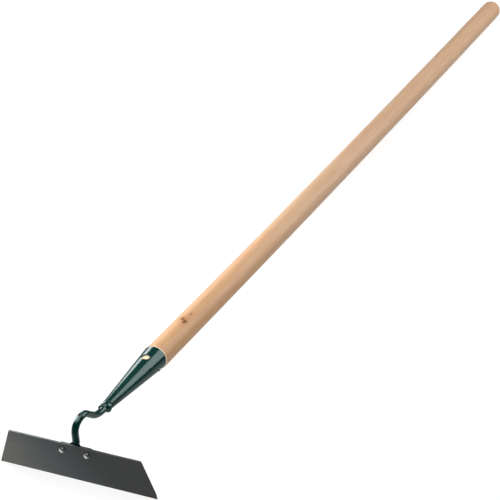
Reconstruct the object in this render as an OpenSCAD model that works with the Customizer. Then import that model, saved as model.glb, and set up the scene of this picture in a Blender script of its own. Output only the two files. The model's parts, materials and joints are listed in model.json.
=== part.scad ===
// Draw hoe. A trapezoid steel blade is riveted to the flattened foot of a swan-necked
// rod, the rod is welded into a conical socket, and the socket is nailed to a turned
// wooden pole. Millimetres, +X across the blade, +Y from the head to the free end of
// the pole, +Z up. The hoe lies at rest on its cutting edge and on the end of the pole,
// and the origin is the middle of its bounding box at that level.

/* [Blade] */
// Width along the cutting edge
blade_w = 180; // [140:1:240]
// Width along the top edge
blade_top_w = 150; // [80:1:180]
// Height from the top edge to the cutting edge
blade_h = 44; // [36:1:80]
// Thickness of the plate
blade_t = 2; // [1.5:0.1:3]
// Height of the bevel ground on the inner face
bevel_h = 5; // [2:0.5:12]
// Thickness left at the cutting edge
edge_t = 0.4; // [0.2:0.1:1]

/* [Neck] */
// Diameter of the rod
rod_d = 7.8; // [6:0.1:10]
// Straight run between the socket and the first bend
lead_len = 11.5; // [9:0.5:20]
// Centre-line radius of the first bend, which turns the rod upwards
rise_r = 42; // [20:1:80]
// Angle at which the rod climbs
rise_angle = 33; // [15:1:45]
// Straight run at that angle
climb_len = 13; // [0.5:0.5:30]
// Centre-line radius over the crown
crown_r = 20; // [15:1:60]
// Angle turned over the crown
crown_angle = 60; // [10:1:70]
// Centre-line radius of the tight bend down to the blade
bend_r = 10.5; // [6:0.5:20]
// Straight run between the tight bend and the top edge of the blade
drop_len = 11; // [2:0.5:40]
// Lean of the blade from square to the pole, cutting edge towards the user
blade_lean = 8; // [0:0.1:25]

/* [Foot] */
// Width of the flattened foot behind the blade
foot_w = 42; // [38:1:60]
// Height of the foot
foot_h = 15; // [13:1:28]
// Thickness of the foot
foot_t = 4; // [3:0.1:4]
// Radius of the foot's corners
foot_corner_r = 6; // [2:0.5:6.5]
// Distance of the foot below the top edge of the blade
foot_drop = 2.5; // [0:0.5:3]

/* [Rivets] */
// Distance between the two rivets
rivet_pitch = 28.2; // [20:0.2:30]
// Distance of the rivets below the top edge of the blade
rivet_inset = 8.3; // [7:0.1:11]
// Diameter of a rivet's shank
rivet_d = 4.5; // [3:0.1:6]
// Diameter of the domed head on the outer face
rivet_head_d = 6.6; // [6.4:0.1:10]
// Height of the domed head
rivet_head_h = 2.2; // [1:0.1:3]
// Diameter of the flat tail behind the foot
rivet_tail_d = 7.5; // [6.5:0.1:10]
// Thickness of the tail
rivet_tail_h = 1.4; // [0.8:0.1:2]

/* [Socket] */
// Length of the socket
socket_len = 110; // [107:1:160]
// Outer diameter at the rim
socket_d = 28.6; // [28.6:0.1:40]
// Outer diameter at the small end
socket_tip_d = 11.6; // [10:0.1:16]
// Thickness of the wall
socket_wall = 1.5; // [1:0.1:2.2]
// Length of the rod held in the small end
rod_grip = 18; // [12:1:21]
// Diameter of the open fixing hole in the top of the socket
hole_d = 9.5; // [4:0.1:10]
// Distance of the fixing hole from the rim
hole_inset = 21; // [12:0.5:40]
// Height of the socket's axis above the pole's axis, at the rim
socket_lift = 1.1; // [0:0.1:1.1]
// Angle at which the socket points above the pole's axis
socket_pitch = 0.9; // [0:0.1:2]
// Length of the weld bead along the rod
weld_len = 9; // [2:0.5:9]

/* [Nail] */
// Distance of the side nail from the rim
nail_inset = 12.5; // [8:0.5:30]
// Angle of the nail below the side of the socket
nail_turn = 25; // [-30:5:30]
// Diameter of the nail's shank
nail_d = 2.4; // [1.5:0.1:4]
// Length of the nail under its head
nail_len = 16; // [8:1:20]
// Diameter of the nail's head
nail_head_d = 4; // [3.5:0.1:8]
// Height of the nail's domed head
nail_head_h = 1.3; // [0.6:0.1:2]
// Depth to which the head is sunk into the socket's wall
nail_sink = 0.3; // [0.2:0.1:0.5]

/* [Pole] */
// Diameter of the pole
pole_d = 28; // [28:0.1:32]
// Length of the pole beyond the rim of the socket
pole_len = 1200; // [800:10:1500]
// Length of the tapered end inside the socket
taper_len = 80; // [60:1:82]

/* [Hidden] */
$fn = 96;

over = 1;               // how far a cutting shape runs past what it cuts
rod_r = rod_d / 2;
pole_r = pole_d / 2;
socket_r = socket_d / 2;
tip_r = socket_tip_d / 2;
socket_slope = (socket_r - tip_r) / socket_len;
socket_angle = atan(socket_slope);
throat_len = 8;         // cone between the wood's hollow and the rod's bore
hollow_len = socket_len - rod_grip - throat_len;
tang_end = 1;           // rod left standing in the throat
rod_clear = 0.3;        // gap between the rod and the plate in front of it
rod_lap = 0.5;          // how far pieces of the rod run into each other
rod_swell = 0.02;       // extra radius of every second piece
foot_land = 2;          // foot left flat below the end of the rod's taper
rod_end_r = rod_r / 4;  // radius to which the rod tapers on the foot
bead_step = 0.3;        // step from the socket's edge in to the weld bead
toe_step = 0.2;         // step from the rod out to the toe of the bead
shoulder_lap = 1;       // how far the tapered end runs into the full pole
undercut = 1.5;         // depth and length of the step turned in front of the shoulder
shoulder_y = socket_r * sin(socket_pitch);

// Outer and inner radius of the socket at a distance from its rim
function socket_outer(d) = socket_r - d * socket_slope;
function socket_inner(d) = socket_outer(d) - socket_wall;

// The neck's centre line is a list of steps, each [length or radius, angle turned].
// A step that turns 0 degrees is straight, a positive angle turns the rod upwards.
tight_turn = socket_pitch + rise_angle - crown_angle + 90 + blade_lean;
steps = [
    [rod_grip + tang_end + lead_len, 0],
    [rise_r, rise_angle],
    [climb_len, 0],
    [crown_r, -crown_angle],
    [bend_r, -tight_turn],
    [drop_len, 0]
];
blade_step = len(steps);
tight_step = 4;

// The frame at the start of step n lies in the hoe's middle plane. Its heading is the
// angle above -Y, and its place is [y, z], both counted from the pole's own axis.
function heading(n) = n == 0 ? socket_pitch : heading(n - 1) + steps[n - 1][1];
function ahead(a) = [-cos(a), sin(a)];
function above(a) = [sin(a), cos(a)];
function centre(n) = place(n) + steps[n][0] * sign(steps[n][1]) * above(heading(n));
function place(n) = n == 0
    ? [0, socket_lift] + (socket_len - rod_grip - tang_end) * ahead(socket_pitch)
    : steps[n - 1][1] == 0
        ? place(n - 1) + steps[n - 1][0] * ahead(heading(n - 1))
        : centre(n - 1) - steps[n - 1][0] * sign(steps[n - 1][1]) * above(heading(n));

// The support plane touches the cutting edge and the domed end of the pole.
foot_face = rod_r + rod_clear;
blade_face = foot_face + blade_t;
edge = place(blade_step) + blade_h * ahead(heading(blade_step))
    + blade_face * above(heading(blade_step));
dome = [pole_len - pole_r, 0];
reach = dome - edge;
rest_tilt = atan2(reach[1], reach[0]) - asin(pole_r / norm(reach));

// [y, z] of a point after the hoe is tilted down to its support plane
function tilted(p) = [
    p[0] * cos(rest_tilt) + p[1] * sin(rest_tilt),
    p[1] * cos(rest_tilt) - p[0] * sin(rest_tilt)
];
front_y = tilted(centre(tight_step))[0] - bend_r - rod_r;
back_y = tilted(dome)[0] + pole_r;
middle_y = (front_y + back_y) / 2;
floor_z = tilted(edge)[1];

// Puts the hoe, drawn with the pole's axis on Y, into its resting position
module at_rest() {
    translate([0, -middle_y, -floor_z]) rotate([-rest_tilt, 0, 0]) children();
}

// Puts a shape drawn along the socket's axis, with its rim at y = 0, onto the hoe
module at_head() {
    at_rest() translate([0, 0, socket_lift]) rotate([-socket_pitch, 0, 0]) children();
}

// Puts a shape at the start of step n: -Y runs along the rod, +Z is above it
module at_step(n) {
    translate([0, place(n)[0], place(n)[1]]) rotate([-heading(n), 0, 0]) children();
}

// Blade frame: y = 0 is the top edge, -Y runs down the plate, +Z points outwards
module at_blade() {
    at_rest() at_step(blade_step) children();
}

// Turns a profile drawn as [radius, distance along the pole] about the pole's axis
module turned() {
    rotate([-90, 0, 0]) rotate_extrude() children();
}

// A straight run of rod along -Y that starts lap before y = 0 and ends lap late
module rod_straight(length, r, lap) {
    translate([0, lap, 0]) rotate([90, 0, 0]) cylinder(r = r, h = length + 2 * lap);
}

// An arc of rod that bends by angle, upwards when it is positive, with the same laps
module rod_bend(radius, angle, r, lap) {
    lap_angle = lap / radius * 180 / PI;
    mirror([0, 0, angle < 0 ? 1 : 0])
        rotate([180, 90, 0])
            translate([-radius, 0, 0])
                rotate([0, 0, -lap_angle])
                    rotate_extrude(angle = abs(angle) + 2 * lap_angle)
                        translate([radius, 0]) circle(r = r);
}

// Even steps run on into the odd ones, which are a hair thicker, so that no two pieces
// of the rod only touch
module rod_step(n) {
    even = n % 2 == 0;
    r = even ? rod_r : rod_r + rod_swell;
    lap = even ? rod_lap : 0;
    if (steps[n][1] == 0) rod_straight(steps[n][0], r, lap);
    else rod_bend(steps[n][0], steps[n][1], r, lap);
}

// A domed head of the given diameter and height, standing on z = 0
module domed_head(d, h) {
    ball_r = (d * d / 4 + h * h) / (2 * h);
    intersection() {
        translate([0, 0, h - ball_r]) sphere(r = ball_r);
        cylinder(d = d + over, h = h + over);
    }
}

module rivet_holes() {
    for (side = [-1, 1])
        translate([side * rivet_pitch / 2, -rivet_inset, -rod_d])
            cylinder(d = rivet_d, h = 3 * rod_d);
}

module rivet(side) {
    color("silver")
        at_blade()
            translate([side * rivet_pitch / 2, -rivet_inset, 0]) {
                translate([0, 0, blade_face]) domed_head(rivet_head_d, rivet_head_h);
                translate([0, 0, foot_face - foot_t])
                    cylinder(d = rivet_d, h = foot_t + blade_t);
                translate([0, 0, foot_face - foot_t - rivet_tail_h])
                    cylinder(d = rivet_tail_d, h = rivet_tail_h);
            }
}

module blade_outline() {
    polygon([
        [-blade_top_w / 2, 0],
        [-blade_w / 2, -blade_h],
        [blade_w / 2, -blade_h],
        [blade_top_w / 2, 0]
    ]);
}

// The wedge ground off the inner face above the cutting edge
module bevel_cut() {
    rotate([90, 0, 90])
        translate([0, 0, -blade_w])
            linear_extrude(2 * blade_w)
                polygon([
                    [-blade_h + bevel_h, foot_face],
                    [-blade_h, blade_face - edge_t],
                    [-blade_h - over, blade_face - edge_t],
                    [-blade_h - over, foot_face - over],
                    [-blade_h + bevel_h, foot_face - over]
                ]);
}

module blade() {
    color("dimgray")
        at_blade()
            difference() {
                translate([0, 0, foot_face]) linear_extrude(blade_t) blade_outline();
                bevel_cut();
                rivet_holes();
            }
}

// A rectangle with round corners, x centred and y from -h to 0
module rounded_plate(w, h, r) {
    for (x = [-w / 2 + r, w / 2 - r], y = [-r, r - h])
        translate([x, y]) circle(r = r);
    translate([-w / 2, r - h]) square([w, h - 2 * r]);
    translate([r - w / 2, -h]) square([w - 2 * r, h]);
}

// The flattened foot, and the rod tapering away on its back
module neck_foot() {
    difference() {
        translate([0, -foot_drop, foot_face - foot_t])
            linear_extrude(foot_t) rounded_plate(foot_w, foot_h, foot_corner_r);
        rivet_holes();
    }
    translate([0, rod_lap, 0])
        rotate([90, 0, 0])
            cylinder(r1 = rod_r, r2 = rod_end_r, h = foot_drop + foot_h - foot_land);
}

module swan_neck() {
    color("darkslategray") {
        at_rest()
            for (n = [0 : blade_step - 1])
                at_step(n) rod_step(n);
        at_blade() neck_foot();
    }
}

// The bead that fills the corner between the socket's small end and the rod
module neck_weld() {
    bead_r = tip_r - bead_step;
    toe_r = rod_r + toe_step;
    color("darkslategray")
        at_head()
            translate([0, -socket_len, 0])
                turned()
                    polygon([
                        [rod_r, 0],
                        [bead_r, 0],
                        [(bead_r + toe_r) / 2 + bead_step, -weld_len / 2],
                        [toe_r, -weld_len],
                        [rod_r, -weld_len]
                    ]);
}

// The side nail, drawn with its shank along -Z and its head sunk below z = 0
module nail_shape() {
    translate([0, 0, -nail_sink]) {
        domed_head(nail_head_d, nail_head_h);
        translate([0, 0, -nail_len]) cylinder(d = nail_d, h = nail_len);
    }
}

// Square to the socket's wall, on or below its +X side, z = 0 on its outer surface
module at_nail() {
    rotate([0, nail_turn, 0])
        translate([socket_outer(nail_inset), -nail_inset, 0])
            rotate([0, 90, -socket_angle]) children();
}

// Square to the socket's wall on top, z = 0 on its outer surface
module at_hole() {
    translate([0, -hole_inset, socket_outer(hole_inset)])
        rotate([socket_angle, 0, 0]) children();
}

module socket() {
    color("darkslategray")
        at_head()
            difference() {
                turned()
                    polygon([
                        [socket_inner(0), 0],
                        [socket_outer(0), 0],
                        [tip_r, -socket_len],
                        [rod_r, -socket_len],
                        [rod_r, rod_grip - socket_len],
                        [socket_inner(hollow_len), -hollow_len]
                    ]);
                at_hole()
                    translate([0, 0, -socket_r / 2]) cylinder(d = hole_d, h = socket_r);
                at_nail() nail_shape();
            }
}

module socket_nail() {
    color("lightgray") at_head() at_nail() nail_shape();
}

// The full pole, from its shoulder at the rim to its domed end
module pole() {
    turned() {
        polygon([
            [0, shoulder_y],
            [pole_r, shoulder_y],
            [pole_r, pole_len - pole_r],
            [0, pole_len - pole_r]
        ]);
        intersection() {
            translate([0, pole_len - pole_r]) circle(r = pole_r);
            translate([0, pole_len - 2 * pole_r]) square(2 * pole_r);
        }
    }
}

// The tapered end that fills the socket's hollow, undercut in front of the shoulder
module taper() {
    turned()
        polygon([
            [0, -taper_len],
            [socket_inner(taper_len), -taper_len],
            [socket_inner(undercut), -undercut],
            [socket_inner(0) - undercut, 0],
            [socket_inner(0) - undercut, shoulder_lap],
            [0, shoulder_lap]
        ]);
}

module handle() {
    color("burlywood")
        difference() {
            union() {
                at_rest() pole();
                at_head() taper();
            }
            at_head() at_nail() nail_shape();
        }
}

handle();
socket();
swan_neck();
neck_weld();
blade();
rivet(-1);  // left_rivet
rivet(1);  // right_rivet
socket_nail();
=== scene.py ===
import json
import math

import bmesh
import bpy
import numpy as np
from mathutils import Matrix, Quaternion, Vector, noise


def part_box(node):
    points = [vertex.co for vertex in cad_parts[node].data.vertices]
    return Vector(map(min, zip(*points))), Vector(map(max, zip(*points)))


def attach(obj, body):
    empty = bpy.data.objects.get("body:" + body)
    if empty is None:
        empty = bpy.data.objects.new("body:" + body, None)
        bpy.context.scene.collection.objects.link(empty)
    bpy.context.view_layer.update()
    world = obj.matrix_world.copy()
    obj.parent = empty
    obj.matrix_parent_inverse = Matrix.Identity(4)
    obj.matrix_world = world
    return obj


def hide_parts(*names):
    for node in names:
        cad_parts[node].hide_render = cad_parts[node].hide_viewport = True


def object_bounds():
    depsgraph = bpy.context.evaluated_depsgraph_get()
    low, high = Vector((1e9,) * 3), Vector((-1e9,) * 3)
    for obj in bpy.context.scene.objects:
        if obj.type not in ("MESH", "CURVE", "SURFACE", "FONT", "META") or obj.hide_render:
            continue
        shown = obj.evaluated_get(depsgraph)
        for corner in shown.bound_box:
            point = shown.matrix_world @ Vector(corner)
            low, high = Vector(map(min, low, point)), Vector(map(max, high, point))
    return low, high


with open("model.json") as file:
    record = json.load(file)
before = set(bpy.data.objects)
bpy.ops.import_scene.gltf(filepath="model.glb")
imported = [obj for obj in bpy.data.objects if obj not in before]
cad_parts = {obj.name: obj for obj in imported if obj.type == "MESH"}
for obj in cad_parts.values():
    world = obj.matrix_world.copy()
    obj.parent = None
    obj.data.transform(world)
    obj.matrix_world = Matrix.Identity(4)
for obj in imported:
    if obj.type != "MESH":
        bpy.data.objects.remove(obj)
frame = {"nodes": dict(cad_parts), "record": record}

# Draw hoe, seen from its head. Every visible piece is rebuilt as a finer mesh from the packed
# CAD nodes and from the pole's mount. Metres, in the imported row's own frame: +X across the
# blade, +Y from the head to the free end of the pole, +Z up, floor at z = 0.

cad_low, cad_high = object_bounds()

MM = 0.001
NEAR = 0.1 * MM  # vertices this close to an end or an edge belong to it
UP = np.array([0.0, 0.0, 1.0])
TURN = 2 * math.pi
CUT_MM = 2.8  # how far along the pole the pale cut on its shoulder reaches

# ---------------------------------------------------------------- measuring the frame


def points(node):
    """The vertices of a CAD node as an array."""
    return np.array([v.co for v in frame["nodes"][node].data.vertices], float)


def unit(vector):
    """The same direction at length 1."""
    return np.asarray(vector, float) / np.linalg.norm(vector)


def centre_line(node, along):
    """(middle of the low end, unit direction, length) of a turned node that runs roughly along."""
    cloud = points(node)
    axis = unit(along)
    # The slices at the two ends get thinner as the axis gets truer
    for reach in (1.5 * MM, 0.3 * MM, 0.05 * MM):
        height = cloud @ axis
        low = np.unique(cloud[height < height.min() + reach].round(6), axis=0).mean(0)
        high = np.unique(cloud[height > height.max() - reach].round(6), axis=0).mean(0)
        axis = unit(high - low)
    return low, axis, float(np.linalg.norm(high - low))


def long_axis(node):
    """The direction in which a slim node is longest."""
    cloud = np.unique(points(node).round(6), axis=0)
    return np.linalg.svd(cloud - cloud.mean(0))[2][0]


def outline(node, start, axis):
    """(distance along, distance from the line) of each vertex of a turned node."""
    offset = points(node) - start
    along = offset @ axis
    return along, np.linalg.norm(offset - np.outer(along, axis), axis=1)


def largest_face(node, towards):
    """The normal of the node's biggest flat side that looks the given way."""
    mesh = frame["nodes"][node].data
    sides = {}
    for polygon in mesh.polygons:
        normal = np.array(polygon.normal)
        if normal @ unit(towards) > 0.5:
            key = tuple(normal.round(2))
            area, total = sides.get(key, (0.0, np.zeros(3)))
            sides[key] = (area + polygon.area, total + normal * polygon.area)
    return unit(max(sides.values(), key=lambda side: side[0])[1])


def upright(normal):
    """The steepest upward direction in a plate that runs along X."""
    up = unit(np.cross((1, 0, 0), normal))
    return up if up[2] > 0 else -up


# The pole's mount covers its full round, from the rim of the socket to the dome
POLE = next(m for m in frame["record"]["mounts"] if m["name"] == "pole")
pole_axis = unit(POLE["axis"])
pole_r = POLE["dims"]["r_mm"] * MM
pole_run = POLE["dims"]["length_mm"] * MM
pole_start = np.array(POLE["pos_m"]) - pole_axis * pole_run / 2

# The socket's line runs from its small end up to the rim
small_end, head_axis, socket_len = centre_line("socket", pole_axis)
rim = small_end + head_axis * socket_len
socket_along, socket_reach = outline("socket", small_end, head_axis)
rim_r = socket_reach[socket_along > socket_len - NEAR].max()
bore_r = socket_reach[socket_along > socket_len - NEAR].min()
tip_r = socket_reach[socket_along < NEAR].max()
wall = rim_r - bore_r


def outer_r(along):
    """The socket's outer radius at a distance from its small end."""
    return tip_r + (rim_r - tip_r) * along / socket_len


# ---------------------------------------------------------------- building meshes


def across(axis):
    """Two unit vectors square to a line: one to its side, one upwards."""
    side = unit(np.cross(axis, UP))
    return side, np.cross(side, axis)


def finish_mesh(name, mesh, places, material, sharp=35):
    """Turns a mesh into a riding piece.

    places holds each vertex's own position in mm, for the material. Edges that bend by more
    than sharp degrees stay hard.
    """
    store = mesh.attributes.new("place", "FLOAT_VECTOR", "POINT")
    store.data.foreach_set("vector", np.asarray(places, np.float32).ravel())
    mesh.shade_smooth()
    mesh.set_sharp_from_angle(angle=math.radians(sharp))
    mesh.materials.append(material)
    piece = bpy.data.objects.new(name, mesh)
    bpy.context.scene.collection.objects.link(piece)
    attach(piece, "root")
    return piece


def skin(rings, wrap=False):
    """Vertices and faces of a tube through rings of points. Open tubes get fan caps."""
    count, segments = rings.shape[:2]
    vertices = [tuple(p) for p in rings.reshape(-1, 3)]
    faces = []
    for i in range(count if wrap else count - 1):
        near, far = i * segments, (i + 1) % count * segments
        for j in range(segments):
            k = (j + 1) % segments
            faces.append((near + j, near + k, far + k, far + j))
    if not wrap:
        for start, flip in ((0, True), ((count - 1) * segments, False)):
            vertices.append(tuple(rings[start // segments].mean(0)))
            for j in range(segments):
                a, b = start + j, start + (j + 1) % segments
                faces.append((b, a, len(vertices) - 1) if flip else (a, b, len(vertices) - 1))
    return vertices, faces


def circles(start, axis, profile, segments, swell=None):
    """Rings round a line, and the same rings in mm in the line's own frame.

    profile is a list of (along, radius). swell(along, angle) adds to a radius, and the
    angle is counted from the top towards +X.
    """
    side, top = across(axis)
    angles = np.arange(segments) * TURN / segments
    rings, places = [], []
    for along, radius in profile:
        extra = np.array([swell(along, a) for a in angles]) if swell else 0.0
        reach = radius + extra
        x, z = reach * np.sin(angles), reach * np.cos(angles)
        rings.append(start + along * axis + np.outer(x, side) + np.outer(z, top))
        places.append(np.stack([x, np.full(segments, along), z], 1) / MM)
    return np.array(rings), np.array(places)


def with_caps(places, wrap=False):
    """The places of a skin's vertices, its two cap centres included."""
    flat = places.reshape(-1, 3)
    return flat if wrap else np.vstack([flat, places[0].mean(0), places[-1].mean(0)])


def face_out(mesh):
    """Makes every normal of a closed mesh point outwards."""
    work = bmesh.new()
    work.from_mesh(mesh)
    bmesh.ops.recalc_face_normals(work, faces=work.faces)
    work.to_mesh(mesh)
    work.free()


def turned_mesh(name, start, axis, profile, segments, wrap=False):
    """(mesh, places) of a solid turned about a line."""
    rings, places = circles(start, axis, profile, segments)
    vertices, faces = skin(rings, wrap)
    mesh = bpy.data.meshes.new(name)
    mesh.from_pydata(vertices, [], faces)
    face_out(mesh)
    return mesh, with_caps(places, wrap)


def arc(centre, radius, start, end, steps):
    """Points of a round corner, as (along, radius) pairs. Angles are in degrees."""
    turns = np.radians(np.linspace(start, end, steps))
    return [(centre[0] + radius * math.sin(t), centre[1] + radius * math.cos(t)) for t in turns]


def stretch(a, b, steps):
    """Evenly spaced pairs from a to b, without b."""
    return [tuple(np.array(a) + (np.array(b) - np.array(a)) * i / steps) for i in range(steps)]


def applied(mesh, modifiers):
    """A new mesh: the given one with modifiers, a list of (type, settings), applied."""
    holder = bpy.data.objects.new("holder", mesh)
    bpy.context.scene.collection.objects.link(holder)
    for kind, settings in modifiers:
        modifier = holder.modifiers.new(kind, kind)
        for key, value in settings.items():
            setattr(modifier, key, value)
    evaluated = holder.evaluated_get(bpy.context.evaluated_depsgraph_get())
    made = bpy.data.meshes.new_from_object(evaluated)
    bpy.data.objects.remove(holder)
    return made


def welded_copy(node):
    """A CAD node's mesh with its split edges joined."""
    work = bmesh.new()
    work.from_mesh(frame["nodes"][node].data)
    bmesh.ops.remove_doubles(work, verts=work.verts, dist=1e-6)
    mesh = bpy.data.meshes.new(node + "_copy")
    work.to_mesh(mesh)
    work.free()
    return mesh


def smooth_points(mesh, factors):
    """Moves each vertex towards its neighbours' middle, once for each factor."""
    co = np.empty(len(mesh.vertices) * 3)
    mesh.vertices.foreach_get("co", co)
    co = co.reshape(-1, 3)
    edges = np.empty(len(mesh.edges) * 2, int)
    mesh.edges.foreach_get("vertices", edges)
    a, b = edges.reshape(-1, 2).T
    degree = np.bincount(np.r_[a, b], minlength=len(co))[:, None]
    for factor in factors:
        total = np.zeros_like(co)
        np.add.at(total, a, co[b])
        np.add.at(total, b, co[a])
        co += factor * (total / degree - co)
    mesh.vertices.foreach_set("co", co.ravel())
    mesh.update()


# ---------------------------------------------------------------- material helpers


def new_material(name):
    """(material, its node tree, its Principled shader)."""
    material = bpy.data.materials.new(name)
    material.use_nodes = True
    tree = material.node_tree
    return material, tree, tree.nodes["Principled BSDF"]


def add(tree, kind, inputs=None, **settings):
    """A node with its settings, and its inputs set or linked."""
    node = tree.nodes.new(kind)
    for key, value in settings.items():
        setattr(node, key, value)
    for key, value in (inputs or {}).items():
        if isinstance(value, bpy.types.NodeSocket):
            tree.links.new(value, node.inputs[key])
        else:
            node.inputs[key].default_value = value
    return node


def place_of(tree):
    """Each point's own position in mm, which finish_mesh() stored."""
    return add(tree, "ShaderNodeAttribute", attribute_name="place").outputs["Vector"]


def scaled(tree, vector, factors):
    """A vector times a factor on each axis."""
    inputs = {0: vector, 1: factors}
    return add(tree, "ShaderNodeVectorMath", inputs, operation="MULTIPLY").outputs[0]


def math_node(tree, operation, a, b=0.0, c=0.0):
    """The result of one operation on up to three values."""
    node = add(tree, "ShaderNodeMath", {0: a, 1: b, 2: c}, operation=operation)
    return node.outputs[0]


def noise_node(tree, vector, scale, detail=3.0, roughness=0.5):
    """Soft noise from 0 to 1, mostly near 0.5."""
    inputs = {"Vector": vector, "Scale": scale, "Detail": detail, "Roughness": roughness}
    return add(tree, "ShaderNodeTexNoise", inputs).outputs["Fac"]


def fade(tree, value, low, high, at_low=0.0, at_high=1.0):
    """A smooth change from at_low to at_high as value goes from low to high."""
    inputs = {0: value, 1: low, 2: high, 3: at_low, 4: at_high}
    return add(tree, "ShaderNodeMapRange", inputs, interpolation_type="SMOOTHSTEP").outputs[0]


def blend(tree, share, a, b, way="MIX"):
    """Colour a with a share of colour b mixed, multiplied or added in."""
    node = tree.nodes.new("ShaderNodeMix")
    node.data_type, node.blend_type = "RGBA", way
    for key, value in ((0, share), (6, a), (7, b)):
        if isinstance(value, bpy.types.NodeSocket):
            tree.links.new(value, node.inputs[key])
        else:
            node.inputs[key].default_value = value
    return node.outputs[2]


def tinted(tree, base, share, most, colour):
    """base moved towards a colour: by most where share is 1, not at all where it is 0."""
    return blend(tree, math_node(tree, "MULTIPLY", share, most), base, colour)


def rgb(red, green, blue):
    """A colour given as the 0-255 values that a screen shows, as linear RGBA."""
    shown = np.array([red, green, blue]) / 255
    linear = np.where(shown <= 0.04045, shown / 12.92, ((shown + 0.055) / 1.055) ** 2.4)
    return (*linear, 1.0)


def bump(tree, shader, height, distance, strength=1.0):
    """Bends the shader's normal as if height, from 0 to 1, rose by distance."""
    inputs = {"Height": height, "Distance": distance, "Strength": strength}
    normal = add(tree, "ShaderNodeBump", inputs).outputs["Normal"]
    tree.links.new(normal, shader.inputs["Normal"])


# ---------------------------------------------------------------- materials

# Pin knots in the pole: mm from the rim, degrees from the top, size in mm, darkness
KNOTS = [(67.0, 17.0, 2.3, 1.0), (71.5, -1.0, 2.3, 0.85), (85.0, 13.0, 1.9, 0.4)]


def growth_rings(tree, place):
    """0 in the early wood and 1 in the late wood of wavy rings round the tree's heart."""
    heart_x, heart_z = -34.0, -52.0  # mm from the pole's own axis
    ring_width = 3.1
    x, _, z = add(tree, "ShaderNodeSeparateXYZ", {0: place}).outputs
    drift = noise_node(tree, scaled(tree, place, (0.02, 0.0035, 0.02)), 1.0, 2.0)
    wave = math_node(tree, "MULTIPLY_ADD", drift, 16.0, -8.0)
    sideways = math_node(tree, "SUBTRACT", x, heart_x)
    upwards = math_node(tree, "SUBTRACT", z, heart_z)
    squares = math_node(tree, "MULTIPLY", sideways, sideways)
    squares = math_node(tree, "MULTIPLY_ADD", upwards, upwards, squares)
    distance = math_node(tree, "ADD", math_node(tree, "SQRT", squares), wave)
    rings = math_node(tree, "PINGPONG", math_node(tree, "DIVIDE", distance, ring_width), 0.5)
    return fade(tree, rings, 0.05, 0.45)


def knotted(tree, place, base):
    """base with the pin knots: ragged dark cores in brown halos, drawn out along the grain."""
    squash = (1.0, 0.5, 1.0)
    ragged = noise_node(tree, scaled(tree, place, (0.9, 0.5, 0.9)), 1.0, 3.0)
    for along, angle, size, darkness in KNOTS:
        turn = math.radians(angle)
        radius = pole_r / MM
        middle = (radius * math.sin(turn), along * squash[1], radius * math.cos(turn))
        inputs = {0: scaled(tree, place, squash), 1: middle}
        gap = add(tree, "ShaderNodeVectorMath", inputs, operation="DISTANCE").outputs["Value"]
        gap = math_node(tree, "MULTIPLY_ADD", ragged, 2.4, math_node(tree, "SUBTRACT", gap, 1.2))
        halo = fade(tree, gap, size * 3.0, size, 0.0, 0.45 * darkness)
        base = blend(tree, halo, base, rgb(176, 118, 70))
        core = fade(tree, gap, size * 1.1, size * 0.5, 0.0, darkness)
        base = blend(tree, core, base, rgb(78, 44, 14))
    return base


def wood():
    """Pale turned ash: low-contrast rings and streaks along the pole, pores and pin knots."""
    material, tree, shader = new_material("pole_wood")
    place = place_of(tree)
    along = add(tree, "ShaderNodeSeparateXYZ", {0: place}).outputs["Y"]
    streaks = noise_node(tree, scaled(tree, place, (0.55, 0.012, 0.55)), 1.0, 4.0, 0.6)
    pores = noise_node(tree, scaled(tree, place, (3.2, 0.09, 3.2)), 1.0, 2.0, 0.6)
    pores = fade(tree, pores, 0.60, 0.72)
    clouds = noise_node(tree, scaled(tree, place, (0.05, 0.01, 0.05)), 1.0, 2.0)

    near_socket = rgb(198, 152, 108)
    towards_end = rgb(205, 170, 138)
    base = blend(tree, fade(tree, along, 60.0, 520.0), near_socket, towards_end)
    base = tinted(tree, base, growth_rings(tree, place), 0.16, rgb(186, 138, 96))
    base = tinted(tree, base, fade(tree, streaks, 0.42, 0.66), 0.26, rgb(183, 134, 94))
    base = tinted(tree, base, fade(tree, streaks, 0.44, 0.30), 0.20, rgb(226, 192, 156))
    base = tinted(tree, base, pores, 0.16, rgb(140, 96, 62))
    base = tinted(tree, base, fade(tree, clouds, 0.35, 0.70), 0.14, rgb(190, 146, 108))
    base = knotted(tree, place, base)

    # Paler wood on the chamfered cut of the shoulder, and fresh wood on the tapered end inside the
    # socket
    cut = fade(tree, along, CUT_MM + 0.1, CUT_MM - 0.3)
    base = tinted(tree, base, cut, 0.7, rgb(240, 222, 188))
    inside = fade(tree, along, -0.5, -3.0)
    base = tinted(tree, base, inside, 0.5, rgb(244, 226, 190))
    tree.links.new(base, shader.inputs["Base Color"])

    gloss = noise_node(tree, scaled(tree, place, (0.3, 0.02, 0.3)), 1.0, 3.0)
    tree.links.new(fade(tree, gloss, 0.2, 0.8, 0.40, 0.52), shader.inputs["Roughness"])
    grain = math_node(tree, "MULTIPLY_ADD", pores, -0.6, streaks)
    bump(tree, shader, grain, 0.06 * MM)
    shader.inputs["Specular IOR Level"].default_value = 0.5
    return material


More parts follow.
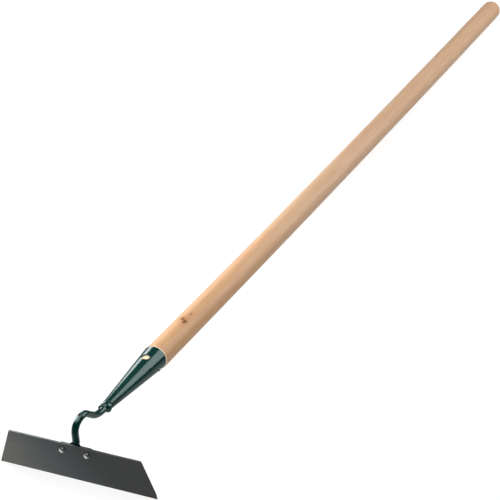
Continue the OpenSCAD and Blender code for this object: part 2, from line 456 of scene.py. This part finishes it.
def green_paint():
    """Dipped gloss paint: very dark green, a faint orange peel and thin dust."""
    material, tree, shader = new_material("green_paint")
    place = place_of(tree)
    clouds = noise_node(tree, place, 0.05, 3.0)
    base = blend(tree, fade(tree, clouds, 0.3, 0.7), rgb(3, 43, 40), rgb(5, 53, 48))
    specks = fade(tree, noise_node(tree, place, 1.9, 2.0), 0.70, 0.78)
    base = tinted(tree, base, specks, 0.10, rgb(120, 140, 130))
    tree.links.new(base, shader.inputs["Base Color"])
    haze = noise_node(tree, place, 0.35, 4.0, 0.6)
    tree.links.new(fade(tree, haze, 0.3, 0.75, 0.10, 0.19), shader.inputs["Roughness"])
    peel = noise_node(tree, place, 0.45, 2.0)
    bump(tree, shader, peel, 0.05 * MM, 0.6)
    shader.inputs["Specular Tint"].default_value = (0.76, 1.0, 0.95, 1)
    shader.inputs["IOR"].default_value = 1.6
    return material


def blade_steel():
    """Dark lacquered steel: rolled streaks, cloudy sheen, bright metal at the edge, and a painted
    reflection that pales the low left.
    """
    material, tree, shader = new_material("blade_steel")
    place = place_of(tree)
    x, up, _ = add(tree, "ShaderNodeSeparateXYZ", {0: place}).outputs

    # Painted reflection of the studio: the base runs from a paler, warmer grey at the low left to
    # a dark one at the right and towards the top
    clouds = noise_node(tree, scaled(tree, place, (0.02, 0.05, 0.02)), 1.0, 3.0)
    painted_light_slant = math_node(tree, "MULTIPLY_ADD", up, 0.8, x)
    painted_light_slant = math_node(tree, "MULTIPLY_ADD", clouds, 40.0, painted_light_slant)
    base = blend(tree, fade(tree, painted_light_slant, -60.0, 30.0), rgb(123, 124, 118), rgb(80, 89, 92))
    base = blend(tree, fade(tree, painted_light_slant, 0.0, 80.0), base, rgb(60, 62, 62))

    streaks = noise_node(tree, scaled(tree, place, (0.05, 2.2, 2.2)), 1.0, 3.0)
    base = blend(tree, fade(tree, streaks, 0.35, 0.65, 0.0, 0.18), base, rgb(34, 37, 39))
    mottle = noise_node(tree, place, 0.35, 4.0, 0.6)
    base = blend(tree, fade(tree, mottle, 0.45, 0.75, 0.0, 0.20), base, rgb(84, 86, 84))
    worn = noise_node(tree, place, 0.6, 3.0)
    edge = fade(tree, math_node(tree, "MULTIPLY_ADD", worn, 0.9, up), 1.1, 0.3)
    base = tinted(tree, base, edge, 0.6, rgb(150, 150, 146))
    tree.links.new(base, shader.inputs["Base Color"])

    sheen = math_node(tree, "MULTIPLY_ADD", mottle, 0.5, streaks)
    tree.links.new(fade(tree, sheen, 0.5, 1.1, 0.34, 0.48), shader.inputs["Roughness"])
    bump(tree, shader, math_node(tree, "MULTIPLY_ADD", mottle, 0.6, streaks), 0.03 * MM)
    shader.inputs["Metallic"].default_value = 0.25
    return material


def bright_steel():
    """Zinc-plated steel with soft hammer marks."""
    material, tree, shader = new_material("bright_steel")
    place = place_of(tree)
    clouds = noise_node(tree, place, 0.9, 3.0)
    base = blend(tree, fade(tree, clouds, 0.35, 0.7), rgb(236, 234, 230), rgb(208, 208, 206))
    tree.links.new(base, shader.inputs["Base Color"])
    tree.links.new(fade(tree, clouds, 0.3, 0.7, 0.36, 0.46), shader.inputs["Roughness"])
    bump(tree, shader, noise_node(tree, place, 0.55, 2.0), 0.10 * MM)
    shader.inputs["Metallic"].default_value = 1.0
    return material


# ---------------------------------------------------------------- the pole and its head


def make_pole(material):
    """The pole with its dome, a slight bow, and the tapered end in the socket."""
    segments = 144
    bow = 1.6 * MM
    waver = 0.07 * MM
    chamfer = 0.8 * MM
    cut_end = CUT_MM * MM
    shoulder = 0.3 * MM
    relief = 1.5 * MM
    askew = 0.5 * MM  # room for the taper's end face, which stands askew to Y
    taper_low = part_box("handle")[0].y
    taper_len = (rim[1] - taper_low) / head_axis[1] - askew

    # The taper fills the socket's bore, and draws in just below the shoulder
    hidden = [(-taper_len, 0.3 * MM)]
    hidden += stretch((-taper_len, outer_r(socket_len - taper_len) - wall), (-relief, bore_r), 24)
    hidden += [(-relief, bore_r - 0.1 * MM), (0.2 * MM, bore_r - relief)]
    hidden_rings, hidden_places = circles(rim, head_axis, hidden, segments)

    profile = [(shoulder, pole_r - 2 * chamfer), (shoulder, pole_r - chamfer)]
    profile += stretch((shoulder + 0.2 * MM, pole_r - 0.6 * chamfer), (cut_end, pole_r), 5)
    profile += stretch((cut_end, pole_r), (pole_run, pole_r), 150)
    profile += arc((pole_run, 0), pole_r, 0, 89.3, 26)

    # Soft dents all round, which fade out towards the rim
    def wander(along, angle):
        where = Vector((math.sin(angle) * 0.6, along * 9, math.cos(angle) * 0.6))
        return waver * noise.noise(where) * min(1, max(0, along / (20 * MM)))

    rings, places = circles(pole_start, pole_axis, profile, segments, wander)
    side, top = across(pole_axis)
    lean = unit(0.8 * side - 0.6 * top)  # the pole bows to the right and a little down
    for i, (along, _) in enumerate(profile):
        share = along / (pole_run + pole_r)
        rings[i] += lean * bow * 4 * share * (1 - share)

    vertices, faces = skin(np.vstack([hidden_rings, rings]))
    mesh = bpy.data.meshes.new("pole")
    mesh.from_pydata(vertices, [], faces)
    face_out(mesh)
    all_places = with_caps(np.vstack([hidden_places, places]))
    piece = finish_mesh("pole", mesh, all_places, material)
    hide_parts("handle")


def fixing_hole(top):
    """(distance from the small end, radius) of the hole in the socket's top."""
    mesh = frame["nodes"]["socket"].data
    reached = []
    for polygon in mesh.polygons:
        offset = np.array(polygon.center) - small_end
        near_rim = socket_len / 2 < offset @ head_axis < socket_len - 3 * MM
        on_top = offset @ top > bore_r / 2
        looks_along = abs(np.array(polygon.normal) @ head_axis) > 0.5
        if near_rim and on_top and looks_along:
            corners = [np.array(mesh.vertices[v].co) for v in polygon.vertices]
            reached += [(corner - small_end) @ head_axis for corner in corners]
    return (min(reached) + max(reached)) / 2, (max(reached) - min(reached)) / 2


def make_socket(material):
    """The conical socket with a rounded rim and the punched fixing hole in its top."""
    lip = wall / 2
    edge = 0.4 * MM
    hollow_len = 84 * MM
    funnel_len = 8 * MM
    throat = socket_len - hollow_len
    rod_r = outline("neck_weld", small_end, head_axis)[1].min()
    profile = stretch((edge, tip_r), (socket_len - lip, rim_r), 110)
    profile += arc((socket_len - lip, rim_r - lip), lip, 0, 180, 12)
    profile += stretch((socket_len - lip, bore_r), (throat, outer_r(throat) - wall), 40)
    profile += [(throat - funnel_len, rod_r), (0.0, rod_r), (0.0, tip_r - edge)]
    profile += arc((edge, tip_r - edge), edge, -70, -20, 3)
    tube, _ = turned_mesh("socket", small_end, head_axis, profile, 192, wrap=True)

    # The drill stands square to the cone's wall and starts inside the bore
    side, top = across(head_axis)
    hole_at, hole_r = fixing_hole(top)
    tilt = (rim_r - tip_r) / socket_len
    out = unit(top - tilt * head_axis)
    drill_from = small_end + hole_at * head_axis + top * outer_r(hole_at) * 0.4
    drill, _ = turned_mesh("drill", drill_from, out, [(0, hole_r), (20 * MM, hole_r)], 64)
    cutter = bpy.data.objects.new("cutter", drill)
    bpy.context.scene.collection.objects.link(cutter)
    cutting = {"object": cutter, "operation": "DIFFERENCE", "solver": "EXACT"}
    rounding = {"width": 0.7 * MM, "segments": 4, "limit_method": "ANGLE"}
    rounding["angle_limit"] = math.radians(50)
    mesh = applied(tube, [("BOOLEAN", cutting), ("BEVEL", rounding)])
    bpy.data.objects.remove(cutter)

    offset = np.array([v.co for v in mesh.vertices]) - rim
    places = np.stack([offset @ side, offset @ head_axis, offset @ top], 1) / MM
    piece = finish_mesh("socket_shell", mesh, places, material)
    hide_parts("socket")


# What was heaped on the weld: degrees from the top, share of its length, height in mm.
# A drop hangs on the lower right, a run starts on the upper left, the upper right is hollow.
WELD_HEAPS = [(135, 0.60, 1.4), (-60, 0.0, 1.3), (30, 0.75, -0.8)]
HEAP_WIDTH = 0.8  # radians round the bead
HEAP_LENGTH = 0.34  # as a share of the bead's length


def turned_from(angle, degrees):
    """The angle counted from the given direction, between minus and plus half a turn."""
    return (angle - math.radians(degrees) + math.pi) % TURN - math.pi


def make_weld(material):
    """The lumpy weld bead, with a tongue of metal that ran along the rod's upper left."""
    segments = 96
    steps = 24
    tongue_at = -60
    tongue_mm = 2.8
    low, axis, length = centre_line("neck_weld", pole_axis)
    along, reach = outline("neck_weld", low, axis)
    toe_r = reach[along < NEAR].max()
    bead_r = reach[along > length - NEAR].max()
    inner_r = reach.min()

    def lumps(at, angle):
        share = min(1, max(0, at / length))
        ripple = noise.noise(Vector((math.sin(angle), at / (4 * MM), math.cos(angle))))
        total = ripple * 0.4 * math.sin(math.pi * min(1, share + 0.15))
        for heap_at, heap_share, height in WELD_HEAPS:
            around = turned_from(angle, heap_at) / HEAP_WIDTH
            onwards = (share - heap_share) / HEAP_LENGTH
            total += height * math.exp(-(around**2) - onwards**2)
        return total * MM

    body = []
    for i in range(steps + 1):
        share = i / steps
        swell = toe_r + (bead_r - toe_r) * (1 - (1 - share) ** 1.5)
        body.append((share * length, swell + 0.3 * MM * math.sin(math.pi * share)))
    toe = [(-0.3 * MM, inner_r - 0.2 * MM), (-0.25 * MM, inner_r + 0.05 * MM)]
    heel = [(length + 0.6 * MM, bead_r - 0.5 * MM), (length + 0.6 * MM, inner_r - 0.2 * MM)]
    toe_rings, toe_places = circles(low, axis, toe, segments)
    rings, places = circles(low, axis, body, segments, lumps)
    heel_rings, heel_places = circles(low, axis, heel, segments)
    rings = np.vstack([toe_rings, rings, heel_rings])
    places = np.vstack([toe_places, places, heel_places])

    # The tongue: the rings slide down the rod, the toe in full and the heel not at all
    shares = [1, 1, *(1 - i / steps for i in range(steps + 1)), 0, 0]
    turns = turned_from(np.arange(segments) * TURN / segments, tongue_at)
    slide = np.outer(shares, tongue_mm * np.exp(-(turns**2)))[:, :, None]
    rings = rings - slide * MM * axis
    places = places - slide * np.array((0, 1, 0))

    vertices, faces = skin(rings, wrap=True)
    mesh = bpy.data.meshes.new("weld_bead")
    mesh.from_pydata(vertices, [], faces)
    face_out(mesh)
    piece = finish_mesh("weld_bead", mesh, with_caps(places, True), material, 60)
    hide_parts("neck_weld")


def make_neck(material):
    """The swan neck and its foot, with the soft shoulder where the rod was forged flat."""
    out = largest_face("blade", (0, -1, 0))
    up = upright(out)
    neck = points("swan_neck")
    foot = neck[np.abs(neck[:, 0]) > 12 * MM]  # the rod is nowhere as wide as this
    foot_top = (foot @ up).max()
    foot_back = (foot @ out).min()
    foot_front = (foot @ out).max()

    # A flat ball where the rod enters the foot becomes the shoulder once all is remeshed
    middle = Vector(up * foot_top + out * (foot_back + foot_front) / 2)
    turn = Matrix((Vector((1, 0, 0)), Vector(up), Vector(out))).transposed().to_4x4()
    size = Matrix.Diagonal((6.5 * MM, 5.0 * MM, (foot_front - foot_back) * 0.48, 1.0))
    place = Matrix.Translation(middle) @ turn @ size
    work = bmesh.new()
    work.from_mesh(welded_copy("swan_neck"))
    bmesh.ops.create_icosphere(work, subdivisions=4, radius=1.0, matrix=place)
    joined = bpy.data.meshes.new("neck_joined")
    work.to_mesh(joined)
    work.free()
    mesh = applied(joined, [("REMESH", {"mode": "VOXEL", "voxel_size": 0.4 * MM})])

    # Each step back is a little longer than the step in, so the rod keeps its thickness
    smooth_points(mesh, [0.5, -0.52] * 24)
    co = np.array([v.co for v in mesh.vertices])
    piece = finish_mesh("neck_rod", mesh, co / MM, material, 80)
    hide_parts("swan_neck")


# ---------------------------------------------------------------- the blade and fasteners


def make_blade(material):
    """The plate with softened edges; its places are counted from the cutting edge up."""
    out = largest_face("blade", (0, -1, 0))
    up = upright(out)
    work = bmesh.new()
    work.from_mesh(welded_copy("blade"))
    flat = math.radians(1)
    bmesh.ops.dissolve_limit(work, angle_limit=flat, verts=work.verts, edges=work.edges)
    copy = bpy.data.meshes.new("blade_plate")
    work.to_mesh(copy)
    work.free()
    rounding = {"width": 0.22 * MM, "segments": 3, "limit_method": "ANGLE"}
    rounding["angle_limit"] = math.radians(20)
    mesh = applied(copy, [("BEVEL", rounding), ("TRIANGULATE", {})])
    co = np.array([v.co for v in mesh.vertices])
    bottom = (points("blade") @ up).min()
    face = (points("blade") @ out).max()
    places = np.stack([co[:, 0], co @ up - bottom, co @ out - face], 1) / MM
    piece = finish_mesh("blade_plate", mesh, places, material)
    piece.data.shade_flat()  # smooth normals would bend the light on the big flat sides
    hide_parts("blade")


def dome(base, base_r, top, steps, fullness, roundness):
    """The profile of a domed head, from just above its rim to just short of its top.

    fullness and roundness are 1 for a round dome and less for a fuller one.
    """
    profile = []
    for i in range(1, steps):
        turn = math.radians(90 * i / steps)
        height = base + (top - base) * math.sin(turn) ** fullness
        profile.append((height, base_r * math.cos(turn) ** roundness))
    return profile


def make_rivet(node, name, material):
    """A rivet with a full dome set on the plate and a hammered tail behind the foot."""
    out = largest_face("blade", (0, -1, 0))
    low, _, length = centre_line(node, out)
    along, reach = outline(node, low, out)
    face = (points("blade") @ out).max() - low @ out
    seat = np.abs(along - face) < NEAR
    head_r = reach[seat].max()
    shank_r = reach[seat].min()
    tail_r = reach[along < NEAR].max()
    tail_h = along[reach > tail_r - NEAR].max()
    soft = 0.3 * MM
    rim_h = 0.15 * MM
    sunk = 0.2 * MM  # the head's underside lies this deep in the plate
    profile = [(0.0, 0.1 * MM), (0.0, tail_r - soft)]
    profile += [(soft - a, r) for a, r in arc((0, tail_r - soft), soft, 80, 0, 5)]
    profile += [(tail_h, tail_r), (tail_h, shank_r), (face - sunk, shank_r)]
    profile += [(face - sunk, head_r - 0.1 * MM), (face + rim_h, head_r)]
    profile += dome(face + rim_h, head_r, length, 15, 0.9, 0.8)
    profile.append((length, 0.05 * MM))
    mesh, places = turned_mesh(name, low, out, profile, 64)
    piece = finish_mesh(name, mesh, places, material, 50)
    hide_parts(node)


def make_nail(material):
    """The side nail: a pointed shank, and a low domed head with a rounded rim."""
    out = long_axis("socket_nail")
    along, reach = outline("socket_nail", points("socket_nail").mean(0), out)
    if reach[along > along.mean()].max() < reach[along < along.mean()].max():
        out = -out
    low, out, length = centre_line("socket_nail", out)
    along, reach = outline("socket_nail", low, out)
    head_r = reach.max()
    shank_r = reach[along < NEAR].max()
    head_from = along[reach > head_r - NEAR].min()
    point_len = 2.5 * MM
    rim_h = 0.15 * MM
    profile = [(0.0, 0.1 * MM), (point_len, shank_r), (head_from, shank_r)]
    profile += [(head_from, head_r - rim_h), (head_from + rim_h, head_r)]
    profile += dome(head_from + rim_h, head_r, length, 10, 1.0, 0.75)
    profile.append((length, 0.05 * MM))
    mesh, places = turned_mesh("nail", low, out, profile, 48)
    piece = finish_mesh("nail", mesh, places, material, 50)
    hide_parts("socket_nail")


# ---------------------------------------------------------------- the studio


def make_floor():
    """A pale floor that runs on past every low view."""
    half = 30.0
    mesh = bpy.data.meshes.new("floor")
    corners = [(-half, -half, 0), (half, -half, 0), (half, half, 0), (-half, half, 0)]
    mesh.from_pydata(corners, [], [(0, 1, 2, 3)])
    material, _, shader = new_material("floor")
    shader.inputs["Base Color"].default_value = (0.12, 0.12, 0.12, 1)
    shader.inputs["Roughness"].default_value = 0.9
    shader.inputs["Specular IOR Level"].default_value = 0.1
    shader.inputs["Emission Color"].default_value = (1, 1, 1, 1)
    shader.inputs["Emission Strength"].default_value = 0.9
    mesh.materials.append(material)
    floor = bpy.data.objects.new("floor", mesh)
    bpy.context.scene.collection.objects.link(floor)
    floor.visible_glossy = False


def make_world():
    """Dim studio walls, black round the horizon, and a pale ground to the left of the head."""
    world = bpy.data.worlds.new("studio")
    bpy.context.scene.world = world
    world.use_nodes = True
    tree = world.node_tree
    direction = add(tree, "ShaderNodeTexCoord").outputs["Generated"]
    x, y, z = add(tree, "ShaderNodeSeparateXYZ", {0: direction}).outputs
    ramp = add(tree, "ShaderNodeValToRGB", {0: math_node(tree, "MULTIPLY_ADD", z, 0.5, 0.5)})

    # (how far up the direction points, grey). A new ramp has two stops already.
    stops = [(-1.0, 0.50), (-0.30, 0.42), (-0.20, 0.08), (-0.10, 0.02), (0.10, 0.04), (1.0, 0.12)]
    elements = ramp.color_ramp.elements
    for i, (level, grey) in enumerate(stops):
        element = elements[i] if i < 2 else elements.new(1.0)
        element.position = level * 0.5 + 0.5
        element.color = (grey, grey, grey, 1)

    # All of it is dimmer in front, where the blade looks, so that the blade stays dark
    behind = fade(tree, y, -0.4, 0.3, 0.2, 1.0)
    walls = blend(tree, 1.0, ramp.outputs["Color"], behind, "MULTIPLY")
    left = fade(tree, x, 0.05, -0.4)
    low = fade(tree, z, 0.15, -0.5)
    beyond = fade(tree, y, -0.66, -0.1, 0.3, 1.5)
    glow = math_node(tree, "MULTIPLY", math_node(tree, "MULTIPLY", left, low), beyond)
    walls = blend(tree, 1.0, walls, glow, "ADD")
    tree.links.new(walls, tree.nodes["Background"].inputs["Color"])


def make_light(name, place, aim, size, radiance, diffuse=True, glossy=True):
    """A rectangular softbox that looks at aim. Its face shows as white at a radiance of 1.

    diffuse and glossy say whether it lights matt surfaces and shows in shiny ones.
    """
    light = bpy.data.lights.new(name, "AREA")
    light.shape = "RECTANGLE"
    light.size, light.size_y = size
    light.energy = radiance * math.pi * size[0] * size[1]
    lamp = bpy.data.objects.new(name, light)
    lamp.location = place
    lamp.rotation_mode = "QUATERNION"
    lamp.rotation_quaternion = (Vector(aim) - Vector(place)).to_track_quat("-Z", "Y")
    lamp.visible_camera = False
    lamp.visible_diffuse = diffuse
    lamp.visible_glossy = glossy
    bpy.context.scene.collection.objects.link(lamp)


def make_lights():
    """Soft light from above, and softboxes that draw long reflections down the socket."""
    head = Vector(small_end + head_axis * socket_len / 2)
    key = head + Vector((-0.55, 0.12, 0.36))
    right = head + Vector((0.80, 1.21, 0.60))
    left = head + Vector((-0.95, 1.45, 0.58))
    make_light("overhead", (0.3, -0.1, 2.6), (0, 0.3, 0), (3.0, 2.4), 2.9)
    make_light("key", key, head, (0.35, 0.7), 8.3)
    make_light("far_box", (0.8, 1.35, 1.1), (0, 0.80, 0), (1.0, 1.0), 3.8, glossy=False)
    make_light("right_box", right, head, (0.8, 1.1), 2.8, diffuse=False)
    beside_left = left + Vector((1, 0, -0.55))
    make_light("left_box", left, beside_left, (0.7, 0.6), 5.0, diffuse=False)


def make_camera():
    """A long lens that looks down on the head from the front right."""
    azimuth, elevation, roll = (math.radians(a) for a in (24.07, 28.03, -0.78))
    distance = 2.413
    aim_share = 0.3200  # how far along the tool the camera looks
    aim_height = 0.0498
    aim = Vector((0, cad_low.y + aim_share * (cad_high.y - cad_low.y), aim_height))
    level = math.cos(elevation)
    back = Vector((math.sin(azimuth) * level, -math.cos(azimuth) * level, math.sin(elevation)))
    camera = bpy.data.objects.new("camera", bpy.data.cameras.new("camera"))
    camera.data.lens = 147.3
    camera.data.clip_end = 50
    camera.location = aim + back * distance
    camera.rotation_mode = "QUATERNION"
    facing = (-back).to_track_quat("-Z", "Y")
    camera.rotation_quaternion = facing @ Quaternion((0, 0, 1), roll)
    bpy.context.scene.collection.objects.link(camera)
    bpy.context.scene.camera = camera


paint = green_paint()
bright = bright_steel()
make_pole(wood())
make_socket(paint)
make_weld(paint)
make_neck(paint)
make_blade(blade_steel())
make_rivet("left_rivet", "rivet_left", bright)
make_rivet("right_rivet", "rivet_right", bright)
make_nail(bright)

make_floor()
make_world()
make_lights()
make_camera()
bpy.context.scene.view_settings.view_transform = "Standard"
